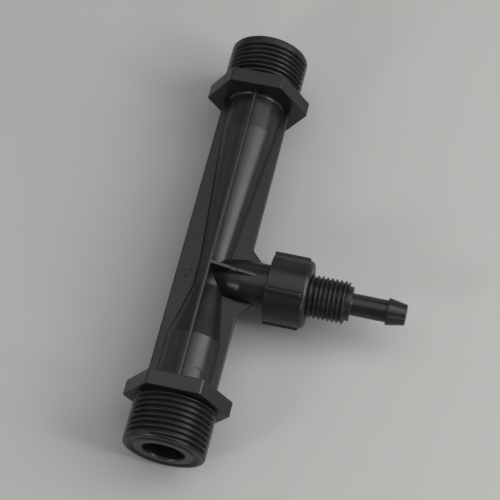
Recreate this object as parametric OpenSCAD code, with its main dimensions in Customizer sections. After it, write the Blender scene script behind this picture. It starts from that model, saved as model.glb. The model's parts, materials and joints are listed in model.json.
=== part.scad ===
// Venturi fertilizer injector for a 3/4 inch irrigation line.
// Water flows along +Y from the inlet spigot to the outlet spigot. The suction port points along +X.
// The origin is on the flow axis, in the inlet shoulder: the face of the inlet hexagon that a pipe
// socket meets.

/* [Pipe spigots] */
// Outside diameter of the male pipe thread, G 3/4
thread_d = 26.44; // [22:0.01:28.6]
// Length of each threaded spigot, from the hexagon to its mouth
thread_l = 15.6; // [8:0.2:25]
// Pitch of the pipe thread
thread_pitch = 1.814; // [1.2:0.001:2.4]
// Depth of the pipe thread
thread_depth = 1.1; // [0.6:0.05:1.2]
// Distance from the hexagon to the middle of the thread's first groove
thread_runout = 2.7; // [1.2:0.1:4]
// Width of the plain strip that the mould's parting plane leaves along the left of the thread
thread_relief_w = 11; // [4:0.5:16]
// Radius of the rounded lip round each mouth
lip_r = 1.2; // [0.4:0.1:2]
// Distance from the thread's crest in to the ring groove in the mouth's face
face_groove_inset = 2.5; // [2.2:0.1:4]
// Width of that ring groove
face_groove_w = 2.2; // [0.4:0.1:2.4]

/* [Hexagons] */
// Width of each hexagon across its flats
hex_af = 30; // [29:0.5:44]
// Thickness of each hexagon along the flow axis
hex_t = 5; // [3:0.5:12]
// Radius of each hexagon's rounded corners
hex_corner_r = 0.9; // [0.3:0.1:3]

/* [Venturi tube] */
// Bore of the inlet run
inlet_bore_d = 13.6; // [10:0.1:15.4]
// Bore of the outlet run
outlet_bore_d = 14.2; // [10:0.1:15.4]
// Bore of the throat
throat_bore_d = 5.2; // [3:0.1:7]
// Wall of the inlet and outlet runs
run_wall = 2; // [1.5:0.1:2.4]
// Wall of the throat
throat_wall = 2.4; // [1.6:0.1:3.2]
// Straight run behind the inlet hexagon
inlet_run_l = 18.5; // [12:0.5:30]
// Length of the converging cone
converge_l = 17.5; // [12:0.5:30]
// Length of the throat
throat_l = 10; // [8:0.5:16]
// Length of the diverging cone
diverge_l = 50; // [30:1:80]
// Straight run ahead of the outlet hexagon
outlet_run_l = 10; // [6:0.5:20]
// Fillet where each run meets its hexagon
root_fillet_r = 1; // [0.3:0.1:1.6]

/* [Fins] */
// Reach of the four long fins from the flow axis
fin_reach = 11.5; // [10.5:0.1:13.5]
// Thickness of every fin
fin_t = 1.2; // [0.8:0.1:2]
// Leg of the sloping gusset between the side fin and the port
gusset_leg = 4.3; // [2:0.1:6]

/* [Ejector marks] */
// Diameter of the round marks that the mould's ejector pins leave
mark_d = 3.2; // [2:0.1:4]
// Distance of each mark from the top fin's middle
mark_offset = 4.7; // [3.2:0.1:5.4]
// Distance of each mark from its hexagon
mark_from_hex = 4.6; // [2.6:0.1:5.4]
// Depth of each mark below the tube's surface
mark_depth = 0.2; // [0.1:0.05:0.4]

/* [Suction port] */
// Distance from the flow axis to the port's sealing face
port_reach = 27.4; // [26:0.2:36]
// Outside diameter of the port's neck
port_d = 14.6; // [13.4:0.1:16]
// Outside diameter of the port's cone at the flow axis
port_root_d = 9.2; // [7:0.1:11]
// Distance from the flow axis to where the port's cone meets its neck
port_flare_l = 10.5; // [8:0.5:13]
// Outside diameter of the port's own thread, under the nut
port_thread_d = 18; // [17:0.1:20]
// Length of the port's own thread
port_thread_l = 7.4; // [5:0.2:9]
// Wall of the neck round the check valve's chamber
port_wall = 2.4; // [1.6:0.1:2.8]
// Distance from the flow axis to the chamber's floor
chamber_floor = 10; // [8:0.5:14]
// Diameter of the hole from the chamber to the throat
suction_hole_d = 3.6; // [2:0.1:4.6]
// Distance from the flow axis to the foot of the rib over the port
port_rib_l = 15.3; // [11:0.1:17]
// Distance from the flow axis to the cut-off gate on that rib
gate_from_axis = 6.8; // [4:0.2:8]
// Length of the cut-off gate
gate_l = 2.3; // [1:0.1:3.6]
// Depth of the cut-off gate
gate_depth = 0.5; // [0.1:0.05:0.6]

/* [Union nut] */
// Wall of the nut outside the port's thread
nut_wall = 1.95; // [1.4:0.05:3]
// Thickness of the nut's end wall
nut_end_t = 2.2; // [1.5:0.1:3]
// How far the nut's skirt reaches past the port's thread
nut_skirt_l = 0.7; // [0.3:0.1:2]
// Radius of the nut's outer end edge
nut_edge_r = 2; // [0.5:0.1:2.2]
// Number of grip ribs
nut_rib_count = 4; // [3:1:12]
// Angle of the first grip rib from straight down, with the nut tight
nut_rib_angle = 27; // [0:1:89]
// Width of a grip rib
nut_rib_w = 1.8; // [1:0.1:3]
// Height of a grip rib
nut_rib_h = 0.8; // [0.3:0.1:1.5]

/* [Hose tail] */
// Thickness of the tail's flange inside the nut
flange_t = 1.4; // [1:0.1:3]
// Diameter of the plain neck that the nut's end wall turns on
tail_neck_d = 13; // [11.6:0.1:13.6]
// Outside diameter of the tail's thread, M14
tail_thread_d = 14; // [13.8:0.1:15]
// Length of the tail's thread, outside the nut
tail_thread_l = 12.3; // [8:0.1:20]
// Pitch of the tail's thread
tail_pitch = 1.5; // [1:0.05:2]
// Depth of the tail's thread
tail_thread_depth = 0.8; // [0.4:0.05:0.9]
// Distance from the nut to the middle of the first groove of that thread
tail_thread_runout = 0.9; // [0.7:0.1:2]
// Diameter of the collar at the end of that thread
collar_d = 11.2; // [9.6:0.1:12]
// Thickness of the collar
collar_t = 1.4; // [0.6:0.1:3]
// Diameter of the stem
stem_d = 7.2; // [6.4:0.1:8]
// Length of the stem between the collar and the barb
stem_l = 11.6; // [6:0.1:20]
// Largest diameter of the barb
barb_d = 8.76; // [8.2:0.02:10]
// Diameter of the barb's tip
barb_tip_d = 6.7; // [6:0.1:7.2]
// Length of the barb
barb_l = 6.2; // [4:0.2:9]
// Length of the barb's round land
barb_land_l = 0.6; // [0.3:0.1:1.2]
// Bore through the tail
tail_bore_d = 4; // [3:0.1:4.8]

/* [Check valve] */
// Thickness of the flat washer
washer_t = 1.6; // [1:0.1:3]
// Diameter of the ball
ball_d = 7.5; // [6.6:0.1:8]
// How much wider than the ball the mouth of its seat is, all round
seat_flare = 0.5; // [0.2:0.1:0.8]
// Travel of the ball from its seat to the guide ribs that stop it
ball_travel = 2.5; // [1:0.1:4]
// Number of guide ribs in the chamber
guide_count = 3; // [3:1:6]
// Thickness of a guide rib
guide_t = 1.2; // [0.8:0.1:2]
// Diameter of the spring's wire
spring_wire_d = 0.3; // [0.25:0.05:0.6]
// Outside diameter of the spring
spring_d = 6; // [5.2:0.1:6.4]
// Open turns of the spring between its closed ends
spring_turns = 5; // [3:1:8]

/* [Clearances] */
// Radial clearance between the nut and what turns in it
turn_gap = 0.15; // [0.1:0.01:0.2]
// Gap between the ball and what it rests on
seat_gap = 0.1; // [0.05:0.01:0.2]
// Radial clearance between the spring and the guide ribs
guide_gap = 0.3; // [0.2:0.05:0.5]

/* [Hidden] */
$fn = 64;

moulded_black = "#121213";
nut_black = "#0f0f10";
rubber_black = "#141414";
ball_white = "#e6e4da";
spring_steel = "#b9bcc0";

// Overlap that keeps joined shapes and cuts from ending in the same plane
bite = 1;
// Step that keeps a round end from just touching a flat one
nick = 0.15;
// Crest and root flats of every thread, as shares of its pitch
crest_share = 1 / 4;
root_share = 1 / 8;

// Stations along the flow axis
inlet_root_y = hex_t;
converge_y = inlet_root_y + inlet_run_l;
throat_y = converge_y + converge_l;
diverge_y = throat_y + throat_l;
outlet_run_y = diverge_y + diverge_l;
outlet_root_y = outlet_run_y + outlet_run_l;
outlet_shoulder_y = outlet_root_y + hex_t;
tee_y = throat_y + throat_l / 2;

thread_r = thread_d / 2;
inlet_r = inlet_bore_d / 2 + run_wall;
outlet_r = outlet_bore_d / 2 + run_wall;
throat_r = throat_bore_d / 2 + throat_wall;

// Stations along the suction port, from the flow axis
port_r = port_d / 2;
port_thread_r = port_thread_d / 2;
chamber_r = port_r - port_wall;
neck_l = port_reach - port_thread_l;
nut_rim_x = neck_l - nut_skirt_l;
flange_x = port_reach + washer_t;
nut_wall_x = flange_x + flange_t;
nut_face_x = nut_wall_x + nut_end_t;
tail_thread_end_x = nut_face_x + tail_thread_l;
stem_x = tail_thread_end_x + collar_t;
barb_x = stem_x + stem_l;
tail_tip_x = barb_x + barb_l;

nut_bore_r = port_thread_r + turn_gap;
nut_r = nut_bore_r + nut_wall;
nut_hole_r = tail_thread_d / 2 + turn_gap;
flange_r = nut_bore_r - turn_gap;

// The ball rests in a 45 degree cone in the tail's inner face
ball_r = ball_d / 2;
seat_r = ball_r + seat_flare;
ball_x = flange_x + seat_r - (ball_r + seat_gap) * sqrt(2);
spring_coil_r = (spring_d - spring_wire_d) / 2;
ball_crown = sqrt(pow(ball_r, 2) - pow(spring_coil_r, 2));
guide_r = spring_d / 2 + guide_gap;
guide_end_x = ball_x - ball_travel - sqrt(pow(ball_r, 2) - pow(guide_r, 2)) - seat_gap;
spring_start_x = chamber_floor + spring_wire_d / 2 + seat_gap;
spring_end_x = ball_x - ball_crown - spring_wire_d / 2 - seat_gap;

// Stands a shape that was drawn along +Z on the flow axis, pointing along +Y from station y
module along_flow(y = 0) {
    translate([0, y, 0]) rotate([-90, 0, 0]) children();
}

// Stands a shape that was drawn along +Z on the port's axis, pointing along +X from station x
module along_port(x = 0) {
    translate([x, tee_y, 0]) rotate([0, 90, 0]) children();
}

// A rod from z = 0 to z = l, with its edge rounded at the far end
module rounded_rod(r, l, edge_r) {
    rotate_extrude() {
        square([r - edge_r, l]);
        square([r, l - edge_r]);
        translate([r - edge_r, l - edge_r]) circle(edge_r);
    }
}

// The grooves of a thread on a rod of radius r, as rings a pitch apart: the first has its middle at
// z = start, and the last ends before z = end
module thread_grooves(r, pitch, depth, start, end) {
    half_w = pitch * (1 - crest_share) / 2;
    root_half = pitch * root_share / 2;
    rotate_extrude() for (z = [start : pitch : end - half_w]) translate([r, z]) polygon([
        [bite, -half_w],
        [0, -half_w],
        [-depth, -root_half],
        [-depth, root_half],
        [0, half_w],
        [bite, half_w],
    ]);
}

// One threaded spigot, standing on z = 0: the thread stops at a plain strip on its left, and a round lip
// and a ring groove finish its mouth
module spigot() {
    root = hex_t / 2;
    difference() {
        translate([0, 0, -root]) rounded_rod(thread_r, root + thread_l, lip_r);
        difference() {
            thread_grooves(thread_r, thread_pitch, thread_depth, thread_runout, thread_l - lip_r);
            translate([-thread_d, -thread_relief_w / 2, 0]) cube([thread_d, thread_relief_w, thread_l]);
        }
        rotate_extrude() translate([thread_r - face_groove_inset, thread_l]) circle(d = face_groove_w);
    }
}

// One hexagon with a flat up, a flat down and rounded corners
module hexagon() {
    corner_reach = (hex_af / 2 - hex_corner_r) * 2 / sqrt(3);
    corners = [for (k = [0 : 5]) corner_reach * [cos(60 * k), sin(60 * k)]];
    flat_ends = [for (k = [0 : 5], side = [-30, 30])
        corners[k] + hex_corner_r * [cos(60 * k + side), sin(60 * k + side)]
    ];
    linear_extrude(hex_t) {
        polygon(flat_ends);
        for (corner = corners) translate(corner) circle(hex_corner_r);
    }
}

// A ring of fillet on a run of radius run_r that stands on the plane z = 0
module root_fillet(run_r) {
    rotate_extrude() difference() {
        translate([run_r - bite, -bite]) square([root_fillet_r + bite, root_fillet_r + bite]);
        translate([run_r + root_fillet_r, root_fillet_r]) circle(root_fillet_r);
    }
}

// The venturi's outer wall, from inside one hexagon to inside the other
module venturi_wall() {
    rotate_extrude() polygon([
        [0, hex_t / 2],
        [inlet_r, hex_t / 2],
        [inlet_r, converge_y],
        [throat_r, throat_y],
        [throat_r, diverge_y],
        [outlet_r, outlet_run_y],
        [outlet_r, outlet_root_y + hex_t / 2],
        [0, outlet_root_y + hex_t / 2],
    ]);
}

// The water's way through: straight, converging, throat, diverging, straight
module venturi_bore() {
    rotate_extrude() polygon([
        [0, -thread_l - bite],
        [inlet_bore_d / 2, -thread_l - bite],
        [inlet_bore_d / 2, converge_y],
        [throat_bore_d / 2, throat_y],
        [throat_bore_d / 2, diverge_y],
        [outlet_bore_d / 2, outlet_run_y],
        [outlet_bore_d / 2, outlet_shoulder_y + thread_l + bite],
        [0, outlet_shoulder_y + thread_l + bite],
    ]);
}

// Left and right fins as one plate, with the gussets that slope out to the port
module side_fins() {
    linear_extrude(fin_t, center = true) polygon([
        [-fin_reach, hex_t / 2],
        [fin_reach, hex_t / 2],
        [fin_reach, tee_y - port_r - gusset_leg],
        [fin_reach + gusset_leg, tee_y - port_r],
        [fin_reach + gusset_leg, tee_y + port_r],
        [fin_reach, tee_y + port_r + gusset_leg],
        [fin_reach, outlet_root_y + hex_t / 2],
        [-fin_reach, outlet_root_y + hex_t / 2],
    ]);
}

// Top and bottom fins as one plate
module upright_fins() {
    translate([-fin_t / 2, hex_t / 2, -fin_reach]) cube([fin_t, outlet_root_y, 2 * fin_reach]);
}

// Ribs over and under the port, which run down from the upright fins to the neck
module port_ribs() {
    slope = (fin_reach - port_r) / port_rib_l;
    gate_end = gate_from_axis + gate_l;
    upper = [
        [0, fin_reach],
        [gate_from_axis, fin_reach - slope * gate_from_axis],
        [gate_from_axis, fin_reach - slope * gate_from_axis - gate_depth],
        [gate_end, fin_reach - slope * gate_end - gate_depth],
        [gate_end, fin_reach - slope * gate_end],
        [port_rib_l, port_r],
    ];
    lower = [[port_rib_l, -port_r], [0, -fin_reach]];
    translate([0, tee_y + fin_t / 2, 0]) rotate([90, 0, 0])
        linear_extrude(fin_t) polygon(concat(upper, lower));
}

// The port's outside: a cone out of the throat, a neck and a thread at its crest diameter
module port_wall_solid() {
    rotate_extrude() polygon([
        [0, 0],
        [port_root_d / 2, 0],
        [port_r, port_flare_l],
        [port_r, neck_l],
        [port_thread_r, neck_l],
        [port_thread_r, port_reach],
        [0, port_reach],
    ]);
}

// The port's inside: a small hole from the throat, and the check valve's chamber with ribs that guide the
// spring and stop the ball
module port_bore() {
    difference() {
        rotate_extrude() polygon([
            [0, 0],
            [suction_hole_d / 2, 0],
            [suction_hole_d / 2, chamber_floor],
            [chamber_r, chamber_floor],
            [chamber_r, port_reach + bite],
            [0, port_reach + bite],
        ]);
        for (k = [0 : guide_count - 1]) rotate(k * 360 / guide_count)
            translate([guide_r, -guide_t / 2, chamber_floor - bite])
                cube([chamber_r - guide_r + bite, guide_t, guide_end_x - chamber_floor + bite]);
    }
}

// The shallow recess that an ejector pin leaves in the top of a run of radius run_r, right (1) or left (-1)
// of the top fin
module ejector_mark(side, y, run_r) difference() {
    translate([side * mark_offset, y, 0]) cylinder(h = run_r + bite, d = mark_d);
    along_flow(y - mark_d) cylinder(h = 2 * mark_d, r = run_r - mark_depth);
}

module body() color(moulded_black) difference() {
    union() {
        along_flow(0) mirror([0, 0, 1]) spigot();
        along_flow(0) hexagon();
        along_flow(outlet_root_y) hexagon();
        along_flow(outlet_shoulder_y) spigot();
        along_flow() venturi_wall();
        along_flow(inlet_root_y) root_fillet(inlet_r);
        along_flow(outlet_root_y) mirror([0, 0, 1]) root_fillet(outlet_r);
        side_fins();
        upright_fins();
        port_ribs();
        along_port() port_wall_solid();
    }
    along_flow() venturi_bore();
    along_port() port_bore();
    ejector_mark(1, inlet_root_y + mark_from_hex, inlet_r);
    for (side = [-1, 1]) ejector_mark(side, outlet_root_y - mark_from_hex, outlet_r);
}

// One grip rib, round at its outer end, standing on the nut's wall
module grip_rib() {
    rib_l = nut_face_x - nut_rim_x - nut_edge_r;
    straight_l = rib_l - nick - nut_rib_w / 2;
    intersection() {
        rotate([0, 90, 0]) linear_extrude(nut_r + nut_rib_h) {
            translate([-straight_l, -nut_rib_w / 2]) square([straight_l, nut_rib_w]);
            translate([-straight_l, 0]) circle(d = nut_rib_w);
        }
        rounded_rod(nut_r + nut_rib_h, rib_l, nut_rib_h);
    }
}

module union_nut() color(nut_black) along_port(nut_rim_x) difference() {
    nut_l = nut_face_x - nut_rim_x;
    union() {
        rounded_rod(nut_r, nut_l, nut_edge_r);
        for (k = [0 : nut_rib_count - 1]) rotate(nut_rib_angle + k * 360 / nut_rib_count) grip_rib();
    }
    translate([0, 0, -bite]) cylinder(h = nut_wall_x - nut_rim_x + bite, r = nut_bore_r);
    cylinder(h = nut_l + bite, r = nut_hole_r);
}

// The tail is turned about the port's axis, with the check valve's seat in its inner face
module hose_tail() color(moulded_black) along_port() difference() {
    rotate_extrude() polygon([
        [seat_r, flange_x],
        [flange_r, flange_x],
        [flange_r, nut_wall_x],
        [tail_neck_d / 2, nut_wall_x],
        [tail_neck_d / 2, nut_face_x],
        [tail_thread_d / 2, nut_face_x],
        [tail_thread_d / 2, tail_thread_end_x],
        [collar_d / 2, tail_thread_end_x],
        [collar_d / 2, stem_x],
        [stem_d / 2, stem_x],
        [stem_d / 2, barb_x],
        [barb_d / 2, barb_x],
        [barb_d / 2, barb_x + barb_land_l],
        [barb_tip_d / 2, tail_tip_x],
        [tail_bore_d / 2, tail_tip_x],
        [tail_bore_d / 2, flange_x + seat_r - tail_bore_d / 2],
    ]);
    thread_grooves(
        tail_thread_d / 2, tail_pitch, tail_thread_depth, nut_face_x + tail_thread_runout, tail_thread_end_x
    );
}

module seal_washer() color(rubber_black) along_port(port_reach) difference() {
    cylinder(h = washer_t, r = flange_r);
    translate([0, 0, -bite]) cylinder(h = washer_t + 2 * bite, r = chamber_r);
}

module check_ball() color(ball_white) translate([ball_x, tee_y, 0]) sphere(ball_r);

// Axial place of the spring's wire after t turns: closed end turns lie a wire apart, open turns share
// the rest
function spring_rise(t) =
    let (open_l = spring_end_x - spring_start_x - 2 * spring_wire_d)
    t < 1 ? t * spring_wire_d
    : t > spring_turns + 1 ? spring_wire_d + open_l + (t - spring_turns - 1) * spring_wire_d
    : spring_wire_d + open_l * (t - 1) / spring_turns;

module check_spring() {
    sides = 6;
    steps = 14;
    rings = (spring_turns + 2) * steps;
    points = [for (i = [0 : rings], k = [0 : sides - 1])
        let (
            along = spring_start_x + spring_rise(i / steps),
            reach = spring_coil_r + spring_wire_d / 2 * cos(360 * k / sides),
            lift = spring_wire_d / 2 * sin(360 * k / sides)
        )
        [along + lift, tee_y + reach * cos(360 * i / steps), reach * sin(360 * i / steps)]
    ];
    ends = [
        [for (k = [0 : sides - 1]) k],
        [for (k = [sides - 1 : -1 : 0]) rings * sides + k],
    ];
    walls = [for (i = [0 : rings - 1], k = [0 : sides - 1])
        let (next = (k + 1) % sides)
        [i * sides + k, (i + 1) * sides + k, (i + 1) * sides + next, i * sides + next]
    ];
    color(spring_steel) polyhedron(points, concat(ends, walls));
}

body();
union_nut();
hose_tail();
seal_washer();
check_ball();
check_spring();
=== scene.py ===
"""Looks of a venturi fertilizer injector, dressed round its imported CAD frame.

Pieces are modelled in millimetres on the CAD's own axes and brought to metres when they are finished.
Water flows along +Y, the suction port points along +X, and +Z is up.
"""

import json
import math

import bpy
from mathutils import Matrix, Quaternion, Vector


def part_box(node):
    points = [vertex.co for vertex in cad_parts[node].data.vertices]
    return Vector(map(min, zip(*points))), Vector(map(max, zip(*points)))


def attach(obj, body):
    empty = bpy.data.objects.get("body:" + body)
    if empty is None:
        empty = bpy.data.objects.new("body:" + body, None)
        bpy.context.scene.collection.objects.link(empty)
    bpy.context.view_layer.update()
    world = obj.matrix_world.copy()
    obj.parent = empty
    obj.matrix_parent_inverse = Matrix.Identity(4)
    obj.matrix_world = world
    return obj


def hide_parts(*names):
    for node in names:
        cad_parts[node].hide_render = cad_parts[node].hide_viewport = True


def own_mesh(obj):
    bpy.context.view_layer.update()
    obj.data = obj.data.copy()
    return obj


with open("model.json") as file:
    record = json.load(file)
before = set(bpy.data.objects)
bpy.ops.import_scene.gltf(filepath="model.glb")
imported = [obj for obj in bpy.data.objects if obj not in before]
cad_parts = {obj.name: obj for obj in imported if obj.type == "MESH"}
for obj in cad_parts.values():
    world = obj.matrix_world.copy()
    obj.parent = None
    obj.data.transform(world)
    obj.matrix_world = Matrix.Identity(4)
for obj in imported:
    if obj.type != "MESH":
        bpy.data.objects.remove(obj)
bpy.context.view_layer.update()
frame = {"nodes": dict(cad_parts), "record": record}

# Sizes in millimetres. The frame gives the places that other pieces depend on.
MM = 0.001
mounts = {mount["name"]: mount for mount in frame["record"]["mounts"]}
body_low, body_high = (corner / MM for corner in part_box("body"))
nut_low, nut_high = (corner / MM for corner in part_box("union_nut"))
tail_low, tail_high = (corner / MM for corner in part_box("hose_tail"))
spring_low, spring_high = (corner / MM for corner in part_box("check_spring"))

TEE_Y = mounts["tail_thread"]["pos_m"][1] / MM
PIPE_R = mounts["inlet_thread"]["dims"]["r_mm"]
INLET_MOUTH, OUTLET_MOUTH = body_low.y, body_high.y
OUTLET_SHOULDER = mounts["outlet_thread"]["pos_m"][1] / MM
FLOOR_Z, FLOOR_W = body_low.z, 4000

# Pipe spigots and hexagons
LIP_R = 0.9
FACE_GROOVE_INSET, FACE_GROOVE_W = 2.5, 2.2
FACE_GROOVE_INNER_R, FACE_GROOVE_ROOT_R, FACE_GROOVE_OUTER_R = 0.7, 0.6, 0.1
HEX_HALF = body_high.z
HEX_T = 5
HEX_CORNER_R = 0.9
HEX_EDGE_R = 0.25

# Venturi tube: radii outside and inside, and stations along the flow
INLET_BORE_R, THROAT_BORE_R, OUTLET_BORE_R = 6.8, 2.6, 7.1
INLET_R, THROAT_R, OUTLET_R = 8.8, 5, 9.1
INLET_ROOT, OUTLET_ROOT = HEX_T, OUTLET_SHOULDER - HEX_T
THROAT_HALF = 5
# Where the bore's cones end, and where those of the outside do
BORE_CONVERGE_Y, BORE_RUN_Y = 23.5, OUTLET_ROOT - 10
INLET_RUN_END, OUTLET_RUN_START = 22.2, OUTLET_ROOT - 12.3
ROOT_FILLET_R = 1
CONE_BLEND_R = 3
CREASE_R = 0.4
BORE_LEAD, BORE_LEAD_R = 0.3, 1

# Fins, gussets and the ribs over and under the port
FIN_REACH = 11.5
FIN_T = 1.2
FIN_EDGE_R, UPRIGHT_EDGE_R = 0.5, 0.4
GUSSET_LEG = 4.3
PORT_RIB_L, PORT_RIB_EDGE_R = 15.3, 0.2
GATE_FROM_AXIS, GATE_L, GATE_DEPTH = 6.8, 2.3, 0.5

# Ejector marks, and the raised flow arrow on the left fin
MARK_R, MARK_DEPTH = 1.6, 0.2
MARK_OFFSET, MARK_FROM_HEX = 4.7, 4.6
ARROW_X = -8
ARROW_L, ARROW_HEAD, ARROW_SHAFT = 4.2, 3.4, 1.1
ARROW_RISE = 0.3

# Suction port
PORT_FACE = body_high.x
PORT_ROOT_R, PORT_R, PORT_THREAD_R = 4.6, 7.3, 9
PORT_FLARE_L, PORT_FLARE_BULGE, PORT_FLARE_BOW_R = 10.5, 0.5, 24
NECK_L, NECK_FILLET_R, PORT_EDGE_R = 20, 0.4, 0.5
CHAMBER_FLOOR, CHAMBER_R = 10, 4.9
CHAMBER_FILLET_R, CHAMBER_LEAD_R = 0.3, 0.5
SUCTION_HOLE_R = 1.8
GUIDE_COUNT, GUIDE_T, GUIDE_EDGE_R = 3, 1.2, 0.2
GUIDE_R, GUIDE_END = 3.3, 23.4

# Union nut
NUT_RIM, NUT_FACE = nut_low.x, nut_high.x
NUT_R, NUT_BORE_R, NUT_HOLE_R = 11.1, 9.15, 7.15
NUT_END_T = 2.2
NUT_WALL = NUT_FACE - NUT_END_T
NUT_MOUTH_R, NUT_RIM_R, NUT_EDGE_R = 0.5, 0.35, 1.6
NUT_HOLE_EDGE_R, NUT_WALL_EDGE_R, NUT_WALL_FILLET_R = 0.3, 0.1, 0.3
NUT_RIBS, NUT_RIB_ANGLE = 4, math.radians(27)
NUT_RIB_W, NUT_RIB_H = 1.8, 0.8
NUT_RIB_FLARE, NUT_RIB_EDGE_R, NUT_RIB_END_R = 0.4, 0.25, 0.7

# Hose tail
FLANGE_X, TAIL_TIP = tail_low.x, tail_high.x
FLANGE_R, FLANGE_EDGE_R = tail_high.z, 0.25
TAIL_NECK_R, TAIL_NECK_FILLET_R = 6.5, 0.3
TAIL_THREAD_R = mounts["tail_thread"]["dims"]["r_mm"]
TAIL_THREAD_END = NUT_FACE + mounts["tail_thread"]["dims"]["length_mm"]
TAIL_THREAD_CHAMFER = 0.2
COLLAR_R, COLLAR_T = 5.6, 1.4
COLLAR_FOOT_R, COLLAR_EDGE_R = 0.15, 0.3
STEM_R, STEM_FILLET_R = 3.6, 0.4
BARB_R = mounts["hose_barb"]["dims"]["r_mm"]
BARB_LAND = mounts["hose_barb"]["dims"]["length_mm"]
BARB_X = mounts["hose_barb"]["pos_m"][0] / MM - BARB_LAND / 2
BARB_FOOT_R, BARB_EDGE_R, BARB_CROWN_R = 0.15, 0.2, 0.6
BARB_TIP_R, BARB_TIP_EDGE_R = 3.35, 0.4
TAIL_BORE_R, TAIL_BORE_EDGE_R = 2, 0.3
SEAT_R, SEAT_EDGE_R = 4.25, 0.1

# Threads: pitch, half the angle between flanks, crest flat and root radius as shares of the pitch
PIPE_THREAD = {"pitch": 1.814, "flank": math.radians(27.5), "crest": 1 / 6, "root": 0.137}
TAIL_THREAD = {"pitch": 1.5, "flank": math.radians(30), "crest": 0.22, "root": 0.144}
PORT_THREAD = {"pitch": 2, "flank": math.radians(30), "crest": 1 / 8, "root": 0.144}

# Their grooves: the station where the helix starts, its turns, the turn from which it cuts, and over how
# many turns it goes in and comes out
INLET_GROOVE = {"start": INLET_MOUTH - 0.78, "turns": 10, "begin": 0.8, "run_out": 0.05}
OUTLET_GROOVE = {"start": OUTLET_SHOULDER - 0.68, "turns": 8, "begin": 0.9, "run_in": 0.12}
PORT_GROOVE = {"start": NECK_L - 0.6, "turns": 5}
TAIL_GROOVE = {"start": NUT_FACE - 0.1, "turns": 9, "run_out": 0.05}

# Strips that the mould's parting plane leaves plain: angle from the top and half width, and the ramp to them
PIPE_RELIEFS = [(math.radians(90), math.radians(4)), (math.radians(-90), math.radians(24))]
PORT_RELIEFS = [(math.radians(90), math.radians(10)), (math.radians(-90), math.radians(10))]
RELIEF_RAMP = math.radians(10)

# Shares of the pitch: depth of a crest's worn edge, the cutter's height over the crest, and its lift clear of
# the rod. The worn edge is wider than it is deep.
WORN_EDGE, CUTTER_ABOVE, CUTTER_CLEAR = 0.04, 0.3, 0.1
WORN_EDGE_SPREAD = 1.6

# Check valve spring
SPRING_WIRE_R = 0.15
SPRING_TURNS = 5
SPRING_STEPS = 40

# Steps of a full turn, the angle up to which shading is smooth, and how near points are welded
LATHE_STEPS = 144
GROOVE_STEPS = 120
SMOOTH_ANGLE = math.radians(34)
WELD = 0.0005
# Overlap that keeps joined shapes from ending in the same plane
BITE = 1
# Gap that keeps faces which turn on each other out of one plane
RUBBING_GAP = 0.03
# Step that keeps the tube's roots out of the hexagons' faces
HAIR = 0.02

# Direction along each axis of turning, and the direction in which its outlines are drawn
AXES = {
    "X": (Vector((1, 0, 0)), Vector((0, 0, 1))),
    "Y": (Vector((0, 1, 0)), Vector((0, 0, 1))),
}


def soften(corners, arc_step=math.radians(15)):
    """An outline's points, with each (x, y, radius) corner turned into an arc of that radius."""
    points = []
    for index, (x, y, radius) in enumerate(corners):
        here = Vector((x, y))
        if not radius:
            points.append(here)
            continue
        before = (Vector(corners[index - 1][:2]) - here).normalized()
        after = (Vector(corners[(index + 1) % len(corners)][:2]) - here).normalized()
        half = before.angle(after) / 2
        centre = here + (before + after).normalized() * radius / math.sin(half)
        first = here + before * radius / math.tan(half) - centre
        sweep = first.angle_signed(here + after * radius / math.tan(half) - centre)
        steps = max(2, round(abs(sweep) / arc_step))
        points += [centre + Matrix.Rotation(-sweep * k / steps, 2) @ first for k in range(steps + 1)]
    return points


def draw(name, points):
    """Starts a mesh as one vertex and extrudes it from point to point.

    It stays in edit mode, with all of the mesh selected.
    """
    bpy.ops.object.select_all(action="DESELECT")
    bpy.ops.mesh.primitive_plane_add(enter_editmode=True)
    piece = bpy.context.object
    piece.name = piece.data.name = name
    bpy.ops.mesh.select_mode(type="VERT")
    bpy.ops.mesh.merge(type="CENTER")
    bpy.ops.transform.translate(value=points[0])
    for here, there in zip(points, points[1:]):
        bpy.ops.mesh.extrude_region_move(TRANSFORM_OT_translate={"value": there - here})
    bpy.ops.mesh.select_all(action="SELECT")
    bpy.ops.mesh.remove_doubles(threshold=WELD)
    return piece


def lathe(name, axis, corners, closed=False):
    """Turns an outline of (along, radius, corner radius) about an axis. A closed outline makes a ring."""
    along, out = AXES[axis]
    points = [along * x + out * y for x, y in soften(corners)]
    piece = draw(name, points + points[:1] if closed else points)
    bpy.ops.mesh.spin(steps=LATHE_STEPS, angle=math.tau, center=(0, 0, 0), axis=along)
    bpy.ops.mesh.select_all(action="SELECT")
    bpy.ops.mesh.remove_doubles(threshold=WELD)
    bpy.ops.mesh.normals_make_consistent(inside=False)
    bpy.ops.object.mode_set(mode="OBJECT")
    return piece


def plate(name, outline, thickness, edge_r):
    """A flat plate of that outline, thick about its own plane, with its edges rounded unless edge_r is 0."""
    draw(name, outline)
    bpy.ops.mesh.edge_face_add()
    normal = (outline[1] - outline[0]).cross(outline[2] - outline[1]).normalized()
    bpy.ops.transform.translate(value=-normal * thickness / 2)
    bpy.ops.mesh.extrude_region_move(TRANSFORM_OT_translate={"value": normal * thickness})
    bpy.ops.mesh.select_all(action="SELECT")
    bpy.ops.mesh.normals_make_consistent(inside=False)
    if edge_r:
        bpy.ops.mesh.bevel(offset=edge_r, segments=4, affect="EDGES")
    bpy.ops.object.mode_set(mode="OBJECT")
    return bpy.context.object


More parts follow.
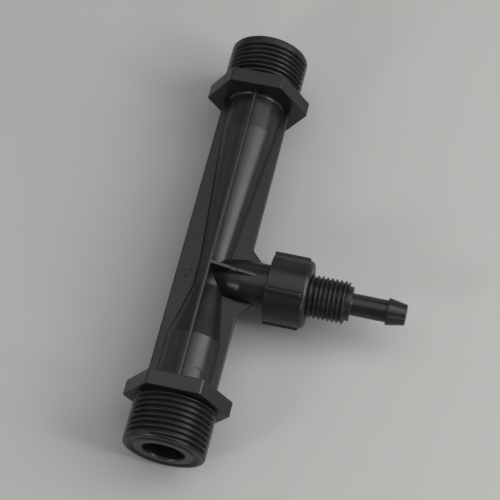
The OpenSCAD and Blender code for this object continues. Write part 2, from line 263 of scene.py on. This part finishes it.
def select_edges(piece, wanted):
    """Selects, in edit mode, the edges whose two ends pass the test."""
    bpy.ops.object.mode_set(mode="EDIT")
    bpy.ops.mesh.select_mode(type="EDGE")
    bpy.ops.mesh.select_all(action="DESELECT")
    bpy.ops.object.mode_set(mode="OBJECT")
    points = [vertex.co for vertex in piece.data.vertices]
    for edge in piece.data.edges:
        edge.select = wanted(points[edge.vertices[0]], points[edge.vertices[1]])
    bpy.ops.object.mode_set(mode="EDIT")


def combine(piece, operation, others):
    """Joins other solids to a piece with UNION, or cuts them out of it with DIFFERENCE."""
    bpy.context.view_layer.objects.active = piece
    for other in others:
        change = piece.modifiers.new(operation, "BOOLEAN")
        change.operation = operation
        change.solver = "EXACT"
        change.object = other
        bpy.ops.object.modifier_apply(modifier=change.name)
        bpy.data.objects.remove(other)
    return piece


def wind(piece, axis, pitch, turns, steps):
    """Winds a closed outline into a right-hand helix about an axis and closes both its ends."""
    helix = piece.modifiers.new("Helix", "SCREW")
    helix.axis = axis
    helix.angle = math.tau
    helix.screw_offset = pitch
    helix.iterations = turns
    helix.steps = helix.render_steps = steps
    bpy.ops.object.modifier_apply(modifier=helix.name)
    bpy.ops.object.mode_set(mode="EDIT")
    bpy.ops.mesh.select_mode(type="VERT")
    bpy.ops.mesh.select_all(action="DESELECT")
    bpy.ops.mesh.select_non_manifold()
    bpy.ops.mesh.fill_holes(sides=0)
    bpy.ops.mesh.select_all(action="SELECT")
    bpy.ops.mesh.normals_make_consistent(inside=False)
    bpy.ops.object.mode_set(mode="OBJECT")


def turn_of(point, axis, start, pitch):
    """How many turns along a helix from its start a point near it lies."""
    along, out = AXES[axis]
    turn = math.atan2(point.dot(along.cross(out)), point.dot(out)) / math.tau
    return turn + round((point.dot(along) - start) / pitch - turn)


def thread_groove(name, axis, crest_r, form, start, turns, begin=0, run_in=0.3, run_out=0.4, reliefs=()):
    """The helix that a right-hand thread cuts into a rod of its crest radius.

    It starts at a station and goes on for some turns. It goes into the rod over run_in turns from turn begin
    on and comes out over its last run_out turns. It also comes out at each relief, an angle from the top and
    a half width.
    """
    along, out = AXES[axis]
    pitch, tangent = form["pitch"], math.tan(form["flank"])
    depth = pitch * (1 - form["crest"]) / 2 / tangent
    worn = WORN_EDGE * pitch
    flank_w = (depth - worn) * tangent
    crest_w = flank_w + WORN_EDGE_SPREAD * worn
    above = crest_r + CUTTER_ABOVE * pitch
    corners = [
        (-crest_w, above, 0),
        (-crest_w, crest_r, 0),
        (-flank_w, crest_r - worn, 0),
        (0, crest_r - depth, form["root"] * pitch),
        (flank_w, crest_r - worn, 0),
        (crest_w, crest_r, 0),
        (crest_w, above, 0),
    ]
    points = [along * (start + x) + out * y for x, y in soften(corners)]
    piece = draw(name, points + points[:1])
    bpy.ops.object.mode_set(mode="OBJECT")
    wind(piece, axis, pitch, turns, GROOVE_STEPS)
    for vertex in piece.data.vertices:
        turn = turn_of(vertex.co, axis, start, pitch)
        angle = turn * math.tau
        shares = [(turn - begin) / run_in, (turns - turn) / run_out]
        for relief_angle, half_width in reliefs:
            away = abs((angle - relief_angle + math.pi) % math.tau - math.pi)
            shares.append((away - half_width) / RELIEF_RAMP)
        share = min(1, max(0, min(shares)))
        lift = (1 - share * share * (3 - 2 * share)) * (depth + CUTTER_CLEAR * pitch)
        radial = (vertex.co - along * vertex.co.dot(along)).normalized()
        vertex.co += radial * lift
    return piece


def venturi_run():
    """Both threaded spigots and the tube between them, as one turned piece without its bore."""
    groove_r, groove_half = PIPE_R - FACE_GROOVE_INSET, FACE_GROOVE_W / 2

    def mouth(y, inward):
        """The outline of a spigot's end, from the axis over the ring groove to the lip."""
        return [
            (y, 0, 0),
            (y, groove_r - groove_half, FACE_GROOVE_INNER_R),
            (y + inward * groove_half, groove_r, FACE_GROOVE_ROOT_R),
            (y, groove_r + groove_half, FACE_GROOVE_OUTER_R),
            (y, PIPE_R, LIP_R),
        ]

    inlet_flare, outlet_flare = INLET_R + 2 * ROOT_FILLET_R, OUTLET_R + 2 * ROOT_FILLET_R
    run = lathe("injector_body", "Y", [
        *mouth(INLET_MOUTH, 1),
        (HEX_T / 2, PIPE_R, 0),
        (HEX_T / 2, inlet_flare, 0),
        (INLET_ROOT - HAIR, inlet_flare, 0),
        (INLET_ROOT - HAIR, INLET_R, ROOT_FILLET_R),
        (INLET_RUN_END, INLET_R, CREASE_R),
        (TEE_Y - THROAT_HALF, THROAT_R, CONE_BLEND_R),
        (TEE_Y + THROAT_HALF, THROAT_R, CONE_BLEND_R),
        (OUTLET_RUN_START, OUTLET_R, CREASE_R),
        (OUTLET_ROOT + HAIR, OUTLET_R, ROOT_FILLET_R),
        (OUTLET_ROOT + HAIR, outlet_flare, 0),
        (OUTLET_SHOULDER - HEX_T / 2, outlet_flare, 0),
        (OUTLET_SHOULDER - HEX_T / 2, PIPE_R, 0),
        *reversed(mouth(OUTLET_MOUTH, -1)),
    ])
    combine(run, "DIFFERENCE", [
        thread_groove("inlet_groove", "Y", PIPE_R, PIPE_THREAD, **INLET_GROOVE, reliefs=PIPE_RELIEFS),
        thread_groove("outlet_groove", "Y", PIPE_R, PIPE_THREAD, **OUTLET_GROOVE, reliefs=PIPE_RELIEFS),
    ])
    return run


def hexagon(y):
    """One spanner hexagon from y to y + HEX_T, with a flat up, rounded corners and softened rims."""
    bpy.ops.object.select_all(action="DESELECT")
    bpy.ops.mesh.primitive_cylinder_add(
        vertices=6, radius=HEX_HALF * 2 / math.sqrt(3), depth=HEX_T,
        location=(0, y + HEX_T / 2, 0), rotation=(math.radians(-90), math.radians(30), 0),
    )
    piece = bpy.context.object
    bpy.ops.object.transform_apply()
    select_edges(piece, lambda a, b: abs(a.y - b.y) > HEX_T / 2)
    bpy.ops.mesh.bevel(offset=HEX_CORNER_R * math.tan(math.radians(30)), segments=6, affect="EDGES")
    bpy.ops.object.mode_set(mode="OBJECT")
    select_edges(piece, lambda a, b: abs(a.y - b.y) < WELD)
    bpy.ops.mesh.bevel(offset=HEX_EDGE_R, segments=3, affect="EDGES")
    bpy.ops.object.mode_set(mode="OBJECT")
    return piece


def fins():
    """The side fins with their gussets, the upright fins and the port's ribs, as three plates."""
    shoulder = PORT_R + GUSSET_LEG
    start, end = HEX_T / 2, OUTLET_SHOULDER - HEX_T / 2
    side = [
        (-FIN_REACH, start), (FIN_REACH, start),
        (FIN_REACH, TEE_Y - shoulder), (FIN_REACH + GUSSET_LEG, TEE_Y - PORT_R),
        (FIN_REACH + GUSSET_LEG, TEE_Y + PORT_R), (FIN_REACH, TEE_Y + shoulder),
        (FIN_REACH, end), (-FIN_REACH, end),
    ]
    upright = [(start, -FIN_REACH), (end, -FIN_REACH), (end, FIN_REACH), (start, FIN_REACH)]
    slope = (FIN_REACH - PORT_R) / PORT_RIB_L
    gate_end = GATE_FROM_AXIS + GATE_L
    ribs = [
        (0, FIN_REACH), (0, -FIN_REACH),
        (PORT_RIB_L, -PORT_R), (PORT_RIB_L, PORT_R),
        (gate_end, FIN_REACH - slope * gate_end),
        (gate_end, FIN_REACH - slope * gate_end - GATE_DEPTH),
        (GATE_FROM_AXIS, FIN_REACH - slope * GATE_FROM_AXIS - GATE_DEPTH),
        (GATE_FROM_AXIS, FIN_REACH - slope * GATE_FROM_AXIS),
    ]
    return [
        plate("side_fins", [Vector((x, y, 0)) for x, y in side], FIN_T, FIN_EDGE_R),
        plate("upright_fins", [Vector((0, y, z)) for y, z in upright], FIN_T, UPRIGHT_EDGE_R),
        plate("port_ribs", [Vector((x, TEE_Y, z)) for x, z in ribs], FIN_T, PORT_RIB_EDGE_R),
    ]


def slide_to_tee(piece):
    """Moves a piece that was turned about the X axis onto the port's own axis."""
    bpy.ops.object.select_all(action="DESELECT")
    piece.select_set(True)
    bpy.context.view_layer.objects.active = piece
    bpy.ops.object.mode_set(mode="EDIT")
    bpy.ops.mesh.select_all(action="SELECT")
    bpy.ops.transform.translate(value=(0, TEE_Y, 0))
    bpy.ops.object.mode_set(mode="OBJECT")
    return piece


def suction_port():
    """The port's outside: a bowed flare out of the throat, a neck and a thread that the nut runs on."""
    port = lathe("suction_port", "X", [
        (0, 0, 0),
        (0, PORT_ROOT_R, 0),
        (PORT_FLARE_L / 2, (PORT_ROOT_R + PORT_R) / 2 + PORT_FLARE_BULGE, PORT_FLARE_BOW_R),
        (PORT_FLARE_L, PORT_R, CREASE_R),
        (NECK_L, PORT_R, NECK_FILLET_R),
        (NECK_L, PORT_THREAD_R, PORT_EDGE_R),
        (PORT_FACE, PORT_THREAD_R, PORT_EDGE_R),
        (PORT_FACE, 0, 0),
    ])
    combine(port, "DIFFERENCE", [
        thread_groove("port_groove", "X", PORT_THREAD_R, PORT_THREAD, **PORT_GROOVE, reliefs=PORT_RELIEFS),
    ])
    return slide_to_tee(port)


def water_ways():
    """The bore of the venturi, and the port's hole and check valve chamber."""
    lead = BORE_LEAD + BITE
    bore = lathe("venturi_bore", "Y", [
        (INLET_MOUTH - BITE, 0, 0),
        (INLET_MOUTH - BITE, INLET_BORE_R + lead, 0),
        (INLET_MOUTH + BORE_LEAD, INLET_BORE_R, BORE_LEAD_R),
        (BORE_CONVERGE_Y, INLET_BORE_R, CONE_BLEND_R),
        (TEE_Y - THROAT_HALF, THROAT_BORE_R, CONE_BLEND_R),
        (TEE_Y + THROAT_HALF, THROAT_BORE_R, CONE_BLEND_R),
        (BORE_RUN_Y, OUTLET_BORE_R, CONE_BLEND_R),
        (OUTLET_MOUTH - BORE_LEAD, OUTLET_BORE_R, BORE_LEAD_R),
        (OUTLET_MOUTH + BITE, OUTLET_BORE_R + lead, 0),
        (OUTLET_MOUTH + BITE, 0, 0),
    ])
    chamber = lathe("valve_chamber", "X", [
        (0, 0, 0),
        (0, SUCTION_HOLE_R, 0),
        (CHAMBER_FLOOR, SUCTION_HOLE_R, 0),
        (CHAMBER_FLOOR, CHAMBER_R, CHAMBER_FILLET_R),
        (PORT_FACE - BORE_LEAD, CHAMBER_R, CHAMBER_LEAD_R),
        (PORT_FACE + BITE, CHAMBER_R + lead, 0),
        (PORT_FACE + BITE, 0, 0),
    ])
    return [bore, slide_to_tee(chamber)]


def guide_ribs():
    """The ribs in the chamber that guide the spring and stop the ball."""
    outline = [
        Vector((CHAMBER_FLOOR - BITE / 2, 0, GUIDE_R)),
        Vector((GUIDE_END, 0, GUIDE_R)),
        Vector((GUIDE_END, 0, CHAMBER_R + BITE / 2)),
        Vector((CHAMBER_FLOOR - BITE / 2, 0, CHAMBER_R + BITE / 2)),
    ]
    ribs = []
    for k in range(GUIDE_COUNT):
        turn = Matrix.Rotation(math.pi + k * math.tau / GUIDE_COUNT, 3, "X")
        rib = plate("guide_rib", [turn @ point for point in outline], GUIDE_T, GUIDE_EDGE_R)
        ribs.append(slide_to_tee(rib))
    return ribs


def ejector_mark(side, y, run_r):
    """The cutter of an ejector pin's shallow recess in a run, right (1) or left (-1) of the top fin."""
    bpy.ops.object.select_all(action="DESELECT")
    bpy.ops.mesh.primitive_cylinder_add(
        vertices=48, radius=MARK_R, depth=FIN_REACH, location=(side * MARK_OFFSET, y, FIN_REACH / 2)
    )
    mark = bpy.context.object
    bpy.ops.object.transform_apply()
    bpy.ops.mesh.primitive_cylinder_add(
        vertices=LATHE_STEPS, radius=run_r - MARK_DEPTH, depth=4 * MARK_R, location=(0, y, 0),
        rotation=(math.radians(90), 0, 0),
    )
    return combine(mark, "DIFFERENCE", [bpy.context.object])


def flow_arrow():
    """A raised arrow on the left fin that points the way the water flows."""
    tail, tip = TEE_Y - ARROW_L / 2, TEE_Y + ARROW_L / 2
    neck = tip - ARROW_HEAD / 2
    half = [(0, tip), (ARROW_HEAD / 2, neck), (ARROW_SHAFT / 2, neck), (ARROW_SHAFT / 2, tail)]
    outline = half + [(-x, y) for x, y in reversed(half[1:])]
    height = FIN_T / 2 - ARROW_RISE / 2
    points = [Vector((ARROW_X + x, y, height)) for x, y in outline]
    return plate("flow_arrow", points, 3 * ARROW_RISE, ARROW_RISE / 3)


def injector_body():
    """The finned venturi moulding with its threads, bores and marks."""
    body = venturi_run()
    combine(body, "UNION", [hexagon(0), hexagon(OUTLET_ROOT), *fins(), suction_port()])
    combine(body, "DIFFERENCE", [
        ejector_mark(1, INLET_ROOT + MARK_FROM_HEX, INLET_R),
        ejector_mark(-1, OUTLET_ROOT - MARK_FROM_HEX, OUTLET_R),
        ejector_mark(1, OUTLET_ROOT - MARK_FROM_HEX, OUTLET_R),
    ])
    combine(body, "UNION", [flow_arrow()])
    combine(body, "DIFFERENCE", water_ways())
    combine(body, "UNION", guide_ribs())
    return body


def grip_rib(turn):
    """One of the nut's grip ribs, with sloped sides and a round outer end, turned about the port's axis."""
    end = NUT_FACE - NUT_EDGE_R
    foot, crest = NUT_R - BITE / 2, NUT_R + NUT_RIB_H
    side = soften([(NUT_RIM, foot, 0), (NUT_RIM, crest, 0), (end, crest, NUT_RIB_END_R), (end, foot, 0)])
    rib = plate("grip_rib", [Vector((x, 0, z)) for x, z in side], NUT_RIB_W, 0)
    for vertex in rib.data.vertices:
        rise = (vertex.co.z - foot) / (crest - foot)
        vertex.co.y += math.copysign(NUT_RIB_FLARE, vertex.co.y) * (1 - 2 * rise)

    def shows(a, b):
        """Whether an edge lies along one side of the rib, over the nut's wall or at the outer end."""
        return a.y * b.y > 0 and (min(a.z, b.z) > NUT_R or min(a.x, b.x) > end - WELD)

    select_edges(rib, shows)
    bpy.ops.mesh.bevel(offset=NUT_RIB_EDGE_R, segments=4, affect="EDGES")
    bpy.ops.object.mode_set(mode="OBJECT")
    rib.rotation_euler = (turn, 0, 0)
    bpy.ops.object.transform_apply()
    return rib


def union_nut():
    """The nut's wall and end, turned, with its grip ribs."""
    nut = lathe("union_nut_moulding", "X", [
        (NUT_RIM, NUT_BORE_R, NUT_MOUTH_R),
        (NUT_RIM, NUT_R, NUT_RIM_R),
        (NUT_FACE, NUT_R, NUT_EDGE_R),
        (NUT_FACE, NUT_HOLE_R, NUT_HOLE_EDGE_R),
        (NUT_WALL, NUT_HOLE_R, NUT_WALL_EDGE_R),
        (NUT_WALL, NUT_BORE_R, NUT_WALL_FILLET_R),
    ], closed=True)
    ribs = [grip_rib(NUT_RIB_ANGLE + k * math.tau / NUT_RIBS) for k in range(NUT_RIBS)]
    return slide_to_tee(combine(nut, "UNION", ribs))


def hose_tail():
    """The tail: a flange in the nut, a thread, a collar, a stem and the barb that a hose is pushed over."""
    flange_face = NUT_WALL - RUBBING_GAP
    stem_x = TAIL_THREAD_END + COLLAR_T
    tail = lathe("hose_tail_moulding", "X", [
        (FLANGE_X, SEAT_R, SEAT_EDGE_R),
        (FLANGE_X, FLANGE_R, FLANGE_EDGE_R),
        (flange_face, FLANGE_R, FLANGE_EDGE_R),
        (flange_face, TAIL_NECK_R, TAIL_NECK_FILLET_R),
        (NUT_FACE, TAIL_NECK_R, 0),
        (NUT_FACE + TAIL_THREAD_CHAMFER, TAIL_THREAD_R, 0),
        (TAIL_THREAD_END - TAIL_THREAD_CHAMFER, TAIL_THREAD_R, 0),
        (TAIL_THREAD_END, TAIL_THREAD_R - TAIL_THREAD_CHAMFER, 0),
        (TAIL_THREAD_END, COLLAR_R, COLLAR_FOOT_R),
        (stem_x, COLLAR_R, COLLAR_EDGE_R),
        (stem_x, STEM_R, STEM_FILLET_R),
        (BARB_X, STEM_R, BARB_FOOT_R),
        (BARB_X, BARB_R, BARB_EDGE_R),
        (BARB_X + BARB_LAND, BARB_R, BARB_CROWN_R),
        (TAIL_TIP, BARB_TIP_R, BARB_TIP_EDGE_R),
        (TAIL_TIP, TAIL_BORE_R, TAIL_BORE_EDGE_R),
        (FLANGE_X + SEAT_R - TAIL_BORE_R, TAIL_BORE_R, TAIL_BORE_EDGE_R),
    ], closed=True)
    groove = thread_groove("tail_groove", "X", TAIL_THREAD_R, TAIL_THREAD, **TAIL_GROOVE)
    return slide_to_tee(combine(tail, "DIFFERENCE", [groove]))


def check_spring():
    """The spring behind the ball, from round wire, with a closed turn at either end.

    It is wound at an even pitch, and its turns are then moved to their places.
    """
    pitch = 4 * SPRING_WIRE_R
    coil_r = spring_high.z - SPRING_WIRE_R
    length = spring_high.x - spring_low.x - 2 * SPRING_WIRE_R
    turns = SPRING_TURNS + 2
    open_pitch = (length - 4 * SPRING_WIRE_R) / SPRING_TURNS
    bpy.ops.object.select_all(action="DESELECT")
    bpy.ops.mesh.primitive_circle_add(
        vertices=10, radius=SPRING_WIRE_R, location=(0, 0, coil_r), rotation=(math.radians(90), 0, 0)
    )
    spring = bpy.context.object
    spring.name = spring.data.name = "spring_coil"
    bpy.ops.object.transform_apply()
    wind(spring, "X", pitch, turns, SPRING_STEPS)
    for vertex in spring.data.vertices:
        turn = turn_of(vertex.co, "X", 0, pitch)
        open_part = min(max(turn - 1, 0), SPRING_TURNS)
        closed_part = turn - open_part
        rise = open_part * open_pitch + closed_part * 2 * SPRING_WIRE_R
        vertex.co.x += spring_low.x + SPRING_WIRE_R + rise - turn * pitch
    return slide_to_tee(spring)


def srgb(code):
    """Linear colour of an sRGB hex code."""
    channels = [int(code[i:i + 2], 16) / 255 for i in (1, 3, 5)]
    return [c / 12.92 if c <= 0.04045 else ((c + 0.055) / 1.055) ** 2.4 for c in channels] + [1]


def add(material, kind, settings=None, links=None):
    """Adds a node, sets its sockets and properties by name, and links its sockets to other nodes' outputs."""
    node = material.node_tree.nodes.new(kind)
    for name, value in (settings or {}).items():
        if name in node.inputs:
            node.inputs[name].default_value = value
        else:
            setattr(node, name, value)
    for name, output in (links or {}).items():
        material.node_tree.links.new(output, node.inputs[name])
    return node


def start_material(name):
    """A new material, its shader, and the object's own coordinates for its patterns."""
    material = bpy.data.materials.new(name)
    material.use_nodes = True
    place = add(material, "ShaderNodeTexCoord").outputs["Object"]
    return material, material.node_tree.nodes["Principled BSDF"], place


def moulded_polypropylene(name, colour, roughness):
    """Black polypropylene from a fine-eroded mould: a satin skin with a low grain and faint flow mottling."""
    material, shader, place = start_material(name)
    # Eroded grain is about 0.05 mm; it is drawn at 0.3 mm so that it shows
    grain_size, grain_depth, flow_size = 0.3 * MM, 0.05 * MM, 7 * MM
    grain = add(material, "ShaderNodeTexNoise", {"Scale": 1 / grain_size, "Detail": 3}, {"Vector": place})
    flow = add(material, "ShaderNodeTexNoise", {"Scale": 1 / flow_size, "Detail": 2}, {"Vector": place})
    low, high = (srgb(code) for code in colour)
    tone = add(
        material, "ShaderNodeMix", {"data_type": "RGBA", "A": low, "B": high}, {"Factor": flow.outputs["Fac"]}
    )
    gloss = add(
        material, "ShaderNodeMapRange",
        {"From Min": 0.3, "From Max": 0.7, "To Min": roughness - 0.04, "To Max": roughness + 0.05},
        {"Value": flow.outputs["Fac"]},
    )
    bump = add(
        material, "ShaderNodeBump", {"Strength": 0.12, "Distance": grain_depth},
        {"Height": grain.outputs["Fac"]},
    )
    links = material.node_tree.links
    links.new(tone.outputs[2], shader.inputs["Base Color"])
    links.new(gloss.outputs["Result"], shader.inputs["Roughness"])
    links.new(bump.outputs["Normal"], shader.inputs["Normal"])
    shader.inputs["IOR"].default_value = 1.49
    shader.inputs["Specular IOR Level"].default_value = 0.37
    return material


def drawn_steel(name):
    """Stainless spring wire, drawn through a die: bright, with fine marks that break up its shine."""
    material, shader, place = start_material(name)
    mark_size = 0.08 * MM
    marks = add(material, "ShaderNodeTexNoise", {"Scale": 1 / mark_size, "Detail": 2}, {"Vector": place})
    gloss = add(
        material, "ShaderNodeMapRange", {"To Min": 0.2, "To Max": 0.4}, {"Value": marks.outputs["Fac"]}
    )
    material.node_tree.links.new(gloss.outputs["Result"], shader.inputs["Roughness"])
    shader.inputs["Base Color"].default_value = srgb("#c6c8cb")
    shader.inputs["Metallic"].default_value = 1
    return material


def sheet_rubber(name):
    """Black EPDM cut from calendered sheet: matt, with a fine dusty bloom."""
    material, shader, place = start_material(name)
    bloom_size = 0.8 * MM
    bloom = add(material, "ShaderNodeTexNoise", {"Scale": 1 / bloom_size, "Detail": 4}, {"Vector": place})
    tone = add(
        material, "ShaderNodeMix", {"data_type": "RGBA", "A": srgb("#101010"), "B": srgb("#1c1c1b")},
        {"Factor": bloom.outputs["Fac"]},
    )
    material.node_tree.links.new(tone.outputs[2], shader.inputs["Base Color"])
    shader.inputs["Roughness"].default_value = 0.75
    return material


def acetal(name):
    """White acetal, tumbled to a ball: slippery and waxy, with a faint cloudiness."""
    material, shader, place = start_material(name)
    cloud_size = 2.5 * MM
    cloud = add(material, "ShaderNodeTexNoise", {"Scale": 1 / cloud_size, "Detail": 2}, {"Vector": place})
    tone = add(
        material, "ShaderNodeMix", {"data_type": "RGBA", "A": srgb("#dedcd2"), "B": srgb("#ebe9e1")},
        {"Factor": cloud.outputs["Fac"]},
    )
    material.node_tree.links.new(tone.outputs[2], shader.inputs["Base Color"])
    shader.inputs["Roughness"].default_value = 0.28
    shader.inputs["IOR"].default_value = 1.48
    return material


def finish_piece(piece, body, node, material):
    """Brings a piece to metres, smooths and paints it, and sets it on its body in its CAD node's place."""
    bpy.ops.object.select_all(action="DESELECT")
    piece.select_set(True)
    bpy.context.view_layer.objects.active = piece
    piece.scale = (MM, MM, MM)
    bpy.ops.object.transform_apply()
    bpy.ops.object.shade_smooth_by_angle(angle=SMOOTH_ANGLE)
    weighted = piece.modifiers.new("Weighted", "WEIGHTED_NORMAL")
    weighted.keep_sharp = True
    bpy.ops.object.modifier_apply(modifier=weighted.name)
    piece.data.materials.clear()
    piece.data.materials.append(material)
    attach(piece, body)
    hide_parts(node)


black_moulding = moulded_polypropylene("polypropylene_black_moulded", ("#101011", "#141415"), roughness=0.33)
nut_moulding = moulded_polypropylene("polypropylene_nut_moulded", ("#0d0d0e", "#111112"), roughness=0.36)

finish_piece(injector_body(), "injector", "body", black_moulding)
finish_piece(union_nut(), "nut", "union_nut", nut_moulding)
finish_piece(hose_tail(), "tail", "hose_tail", black_moulding)

spring = check_spring()
finish_piece(spring, "injector", "check_spring", drawn_steel("spring_wire_drawn"))
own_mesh(spring)
for node, material in (("seal_washer", sheet_rubber("rubber_sheet")), ("check_ball", acetal("acetal_ball"))):
    frame["nodes"][node].data.materials.clear()
    frame["nodes"][node].data.materials.append(material)

# Floor
bpy.ops.object.select_all(action="DESELECT")
bpy.ops.mesh.primitive_plane_add(size=FLOOR_W * MM, location=(0, 0, FLOOR_Z * MM))
floor = bpy.context.object
floor.name = "floor"
floor_paint = bpy.data.materials.new("pale_floor")
floor_paint.use_nodes = True
floor_shader = floor_paint.node_tree.nodes["Principled BSDF"]
floor_shader.inputs["Base Color"].default_value = srgb("#949492")
floor_shader.inputs["Roughness"].default_value = 0.9
floor.data.materials.append(floor_paint)

# Light
world = bpy.data.worlds.new("studio")
bpy.context.scene.world = world
world.use_nodes = True
world.node_tree.nodes["Background"].inputs["Color"].default_value = srgb("#d8d8d8")
world.node_tree.nodes["Background"].inputs["Strength"].default_value = 0.09


def softbox(name, direction, distance, width, height, power):
    """A rectangular lamp that looks at the tee from a direction."""
    target = Vector((0, TEE_Y, 0)) * MM
    bpy.ops.object.light_add(type="AREA", location=target + Vector(direction).normalized() * distance)
    lamp = bpy.context.object
    lamp.name = name
    lamp.data.shape = "RECTANGLE"
    lamp.data.size, lamp.data.size_y = width, height
    lamp.data.energy = power
    lamp.rotation_mode = "QUATERNION"
    lamp.rotation_quaternion = Vector(direction).to_track_quat("Z", "Y")


# Direction from the tee, then distance, width and height in metres and power in watts
softbox("overhead", (0, 0.14, 1), 1.3, 1.45, 1.35, 8.7)
softbox("back", (-0.1, 0.95, 0.35), 1, 1.6, 0.6, 1.3)
softbox("right", (0.8, 0.14, 0.58), 0.8, 0.64, 0.58, 6.3)
softbox("right_high", (0.4, 0.34, 0.85), 1, 0.45, 0.4, 1)
softbox("right_core", (0.8, -0.18, 0.55), 0.8, 0.16, 0.2, 1.5)
softbox("left", (-0.85, -0.02, 0.45), 1, 1.3, 0.8, 2.2)
softbox("left_front", (-0.53, -0.69, 0.45), 0.7, 0.12, 0.14, 1.4)
softbox("right_front", (0.57, -0.72, 0.3), 0.7, 0.24, 0.12, 1)

# Camera, fitted to the photograph: place, aim and sensor in millimetres
CAMERA_AT = Vector((76.2, -167.5, 476.4))
CAMERA_AIM = Vector((5.9, 53.6, 0))
CAMERA_ROLL = math.radians(-4.58)
FOCAL_PX, FRAME_PX, SENSOR_W = 1630, 500, 36
CENTRE_SHIFT_PX = (15.8, 8.6)
bpy.ops.object.camera_add(location=CAMERA_AT * MM)
camera = bpy.context.object
camera.rotation_mode = "QUATERNION"
aim = (CAMERA_AIM - CAMERA_AT).to_track_quat("-Z", "Y")
camera.rotation_quaternion = aim @ Quaternion((0, 0, 1), CAMERA_ROLL)
camera.data.sensor_width = SENSOR_W
camera.data.lens = FOCAL_PX / FRAME_PX * SENSOR_W
camera.data.shift_x, camera.data.shift_y = (px / FRAME_PX for px in CENTRE_SHIFT_PX)
bpy.context.scene.camera = camera
bpy.context.scene.view_settings.view_transform = "Standard"
